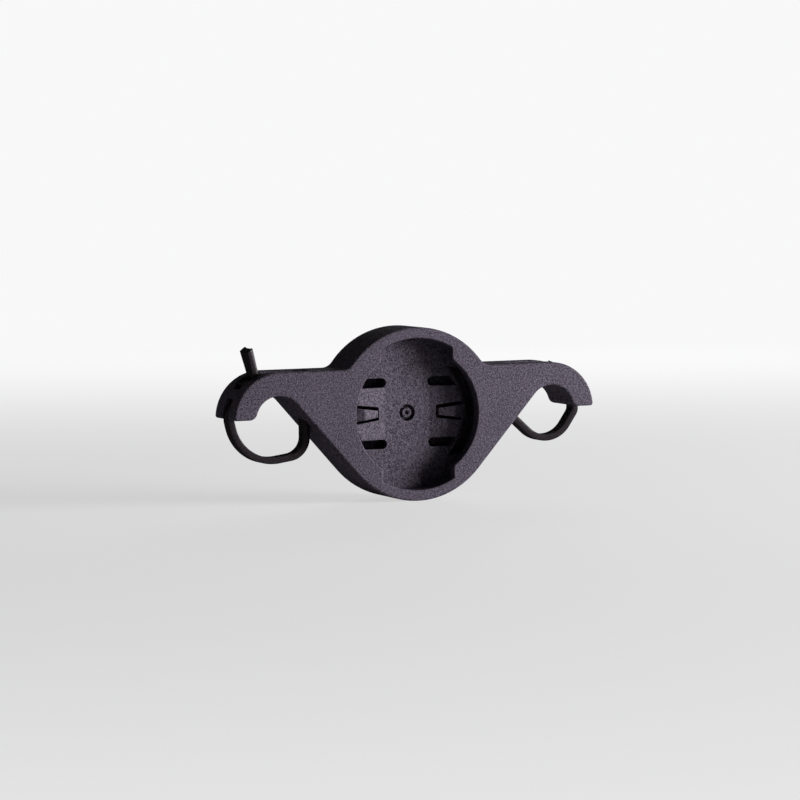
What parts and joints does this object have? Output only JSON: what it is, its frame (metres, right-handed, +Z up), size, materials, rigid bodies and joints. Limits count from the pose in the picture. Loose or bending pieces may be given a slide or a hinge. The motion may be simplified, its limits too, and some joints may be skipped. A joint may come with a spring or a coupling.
{
  "type": "bike light bracket",
  "caption": "Black moulded bracket that hangs under a saddle on both seat rails, tied on with cable ties, with a round quarter-turn socket for a rear light.",
  "frame": {"origin": "on the socket's axis, at the socket's front face, which takes the light", "axes": "+X along the arms from one rail to the other, +Y into the bracket's depth and away from the light, +Z up towards the saddle"},
  "size_m": [0.058, 0.0088, 0.026],
  "materials": {
    "moulding": "fine spark-eroded texture, low sheen",
    "tie": "smooth moulded nylon, satin sheen"
  },
  "bodies": {
    "root": {"bracket_body": "moulding", "cable_tie_left": "tie", "cable_tie_right": "tie"}
  },
  "joints": []
}
